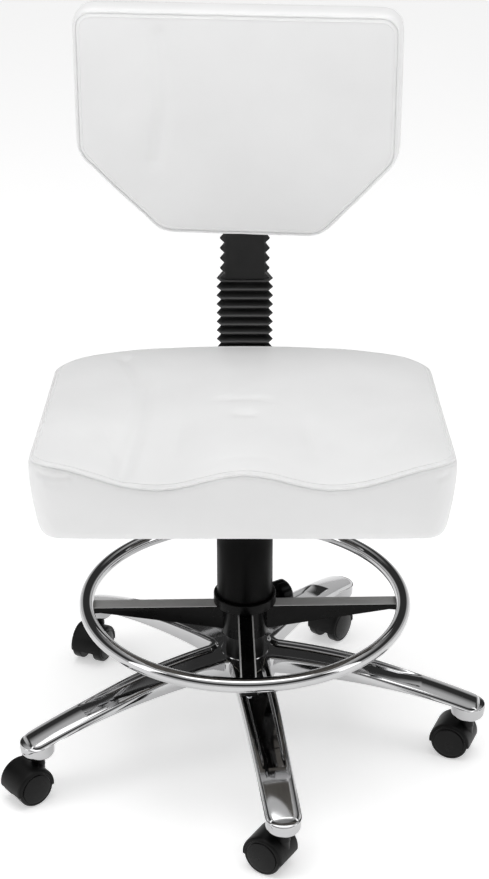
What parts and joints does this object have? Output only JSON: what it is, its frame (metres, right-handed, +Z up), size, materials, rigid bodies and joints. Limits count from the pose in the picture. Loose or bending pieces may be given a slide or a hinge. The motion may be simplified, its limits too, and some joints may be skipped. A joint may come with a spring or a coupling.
{
  "type": "pedicure stool",
  "caption": "Wheeled salon stool: five-armed base on twin casters, gas column, foot ring, contoured seat and a back that adjusts in height and depth.",
  "frame": {"origin": "column axis at floor level", "axes": "+Z up, the stool faces -Y, +X is to the right seen from the front"},
  "size_m": [0.634, 0.6287, 0.948],
  "materials": {
    "polished_aluminium": "polished casting",
    "chrome": "bright chrome plate",
    "zinc_steel": "zinc plated",
    "black_enamel": "gloss powder coat",
    "gas_black": "satin black",
    "black_nylon": "fine moulded grain",
    "black_gloss_plastic": "smooth moulding",
    "pale_nylon": "natural nylon",
    "black_rubber": "matt moulded rubber",
    "white_vinyl": "satin vinyl upholstery over foam",
    "plywood": "plain ply"
  },
  "bodies": {
    "base": {"base_star": "polished_aluminium", "caster_sockets": "zinc_steel", "column_tube": "gas_black", "column_bushing": "pale_nylon", "thrust_bearing": "zinc_steel", "stop_bumper": "black_rubber"},
    "ring": {"ring_spider": "black_enamel", "ring_liner": "pale_nylon", "foot_ring": "chrome", "ring_screws": "zinc_steel", "lower_cover": "black_gloss_plastic"},
    "ring_clamp": {"ring_knob": "black_nylon"},
    "piston": {"piston_rod": "chrome", "rod_clip": "zinc_steel"},
    "seat": {"pressure_tube": "chrome", "upper_cover": "black_gloss_plastic", "gas_socket": "black_enamel", "seat_mechanism": "black_enamel", "lever_pivot_pin": "zinc_steel", "seat_bolts": "zinc_steel", "seat_tee_nuts": "zinc_steel", "seat_board": "plywood", "seat_cushion": "white_vinyl"},
    "valve_pin": {"release_pin": "zinc_steel"},
    "lever": {"height_lever": "black_enamel", "lever_paddle": "black_nylon"},
    "depth_clamp": {"depth_knob": "black_nylon"},
    "back_upright": {"back_bar": "black_enamel", "lower_boot": "black_rubber"},
    "backrest": {"upper_boot": "black_rubber", "back_bracket": "black_enamel", "back_board": "plywood", "back_cushion": "white_vinyl", "back_screws": "zinc_steel"},
    "height_clamp": {"height_knob": "black_nylon"},
    "caster_1": {"caster_1_housing": "black_nylon", "caster_1_stem": "zinc_steel", "caster_1_axle": "zinc_steel"},
    "caster_1_wheel_a": {"caster_1_wheel_a": "black_gloss_plastic"},
    "caster_1_wheel_b": {"caster_1_wheel_b": "black_gloss_plastic"},
    "caster_2": {"caster_2_housing": "black_nylon", "caster_2_stem": "zinc_steel", "caster_2_axle": "zinc_steel"},
    "caster_2_wheel_a": {"caster_2_wheel_a": "black_gloss_plastic"},
    "caster_2_wheel_b": {"caster_2_wheel_b": "black_gloss_plastic"},
    "caster_3": {"caster_3_housing": "black_nylon", "caster_3_stem": "zinc_steel", "caster_3_axle": "zinc_steel"},
    "caster_3_wheel_a": {"caster_3_wheel_a": "black_gloss_plastic"},
    "caster_3_wheel_b": {"caster_3_wheel_b": "black_gloss_plastic"},
    "caster_4": {"caster_4_housing": "black_nylon", "caster_4_stem": "zinc_steel", "caster_4_axle": "zinc_steel"},
    "caster_4_wheel_a": {"caster_4_wheel_a": "black_gloss_plastic"},
    "caster_4_wheel_b": {"caster_4_wheel_b": "black_gloss_plastic"},
    "caster_5": {"caster_5_housing": "black_nylon", "caster_5_stem": "zinc_steel", "caster_5_axle": "zinc_steel"},
    "caster_5_wheel_a": {"caster_5_wheel_a": "black_gloss_plastic"},
    "caster_5_wheel_b": {"caster_5_wheel_b": "black_gloss_plastic"}
  },
  "joints": [
    {"name": "caster_1_swivel", "type": "hinge", "parent": "base", "child": "caster_1", "pos_m": [0.04693, -0.29631, 0.06], "axis": [0, 0, 1], "continuous": true},
    {"name": "caster_1_wheel_a_spin", "type": "hinge", "parent": "caster_1", "child": "caster_1_wheel_a", "pos_m": [0.0315, -0.28704, 0.025], "axis": [-0.515, -0.8572, 0], "continuous": true},
    {"name": "caster_1_wheel_b_spin", "type": "hinge", "parent": "caster_1", "child": "caster_1_wheel_b", "pos_m": [0.0315, -0.28704, 0.025], "axis": [-0.515, -0.8572, 0], "continuous": true},
    {"name": "caster_2_swivel", "type": "hinge", "parent": "base", "child": "caster_2", "pos_m": [0.29631, -0.04693, 0.06], "axis": [0, 0, 1], "continuous": true},
    {"name": "caster_2_wheel_a_spin", "type": "hinge", "parent": "caster_2", "child": "caster_2_wheel_a", "pos_m": [0.27962, -0.04019, 0.025], "axis": [-0.3746, -0.9272, 0], "continuous": true},
    {"name": "caster_2_wheel_b_spin", "type": "hinge", "parent": "caster_2", "child": "caster_2_wheel_b", "pos_m": [0.27962, -0.04019, 0.025], "axis": [-0.3746, -0.9272, 0], "continuous": true},
    {"name": "caster_3_swivel", "type": "hinge", "parent": "base", "child": "caster_3", "pos_m": [0.1362, 0.2673, 0.06], "axis": [0, 0, 1], "continuous": true},
    {"name": "caster_3_wheel_a_spin", "type": "hinge", "parent": "caster_3", "child": "caster_3_wheel_a", "pos_m": [0.12587, 0.25256, 0.025], "axis": [0.8192, -0.5736, 0], "continuous": true},
    {"name": "caster_3_wheel_b_spin", "type": "hinge", "parent": "caster_3", "child": "caster_3_wheel_b", "pos_m": [0.12587, 0.25256, 0.025], "axis": [0.8192, -0.5736, 0], "continuous": true},
    {"name": "caster_4_swivel", "type": "hinge", "parent": "base", "child": "caster_4", "pos_m": [-0.21213, 0.21213, 0.06], "axis": [0, 0, 1], "continuous": true},
    {"name": "caster_4_wheel_a_spin", "type": "hinge", "parent": "caster_4", "child": "caster_4_wheel_a", "pos_m": [-0.21887, 0.19544, 0.025], "axis": [0.9272, -0.3746, 0], "continuous": true},
    {"name": "caster_4_wheel_b_spin", "type": "hinge", "parent": "caster_4", "child": "caster_4_wheel_b", "pos_m": [-0.21887, 0.19544, 0.025], "axis": [0.9272, -0.3746, 0], "continuous": true},
    {"name": "caster_5_swivel", "type": "hinge", "parent": "base", "child": "caster_5", "pos_m": [-0.2673, -0.1362, 0.06], "axis": [0, 0, 1], "continuous": true},
    {"name": "caster_5_wheel_a_spin", "type": "hinge", "parent": "caster_5", "child": "caster_5_wheel_a", "pos_m": [-0.28129, -0.14752, 0.025], "axis": [0.6293, -0.7771, 0], "continuous": true},
    {"name": "caster_5_wheel_b_spin", "type": "hinge", "parent": "caster_5", "child": "caster_5_wheel_b", "pos_m": [-0.28129, -0.14752, 0.025], "axis": [0.6293, -0.7771, 0], "continuous": true},
    {"name": "seat_swivel", "type": "hinge", "parent": "base", "child": "piston", "pos_m": [0, 0, 0.1], "axis": [0, 0, 1], "continuous": true},
    {"name": "seat_height", "type": "slide", "parent": "piston", "child": "seat", "axis": [0, 0, 1], "range_m": [0, 0.1]},
    {"name": "lever_lift", "type": "hinge", "parent": "seat", "child": "lever", "pos_m": [0.05, 0, 0.3983], "axis": [0, -1, 0], "range_deg": [0, 4.6], "stiffness_Nm_per_rad": 4, "springref_deg": -5.73},
    {"name": "valve_press", "type": "slide", "parent": "seat", "child": "valve_pin", "axis": [0, 0, 1], "range_m": [-0.0045, 0]},
    {"name": "ring_height", "type": "slide", "parent": "base", "child": "ring", "axis": [0, 0, 1], "range_m": [-0.014, 0.013]},
    {"name": "ring_clamp_turn", "type": "hinge", "parent": "ring", "child": "ring_clamp", "pos_m": [0.04915, 0.03442, 0.2], "axis": [0.8192, 0.5736, 0], "range_deg": [0, 720]},
    {"name": "back_depth", "type": "slide", "parent": "seat", "child": "back_upright", "axis": [0, 1, 0], "range_m": [-0.015, 0.045]},
    {"name": "depth_clamp_turn", "type": "hinge", "parent": "seat", "child": "depth_clamp", "pos_m": [0, 0.112, 0.35], "axis": [0, 0, -1], "range_deg": [0, 720]},
    {"name": "back_height", "type": "slide", "parent": "back_upright", "child": "backrest", "axis": [0, 0, 1], "range_m": [-0.05, 0], "deforming": ["lower_boot"]},
    {"name": "height_clamp_turn", "type": "hinge", "parent": "backrest", "child": "height_clamp", "pos_m": [0, 0.3, 0.664], "axis": [0, 1, 0], "range_deg": [0, 720]}
  ],
  "couplings": [
    {"joint": "valve_press", "follows": "lever_lift", "m_per_rad": -0.05}
  ]
}
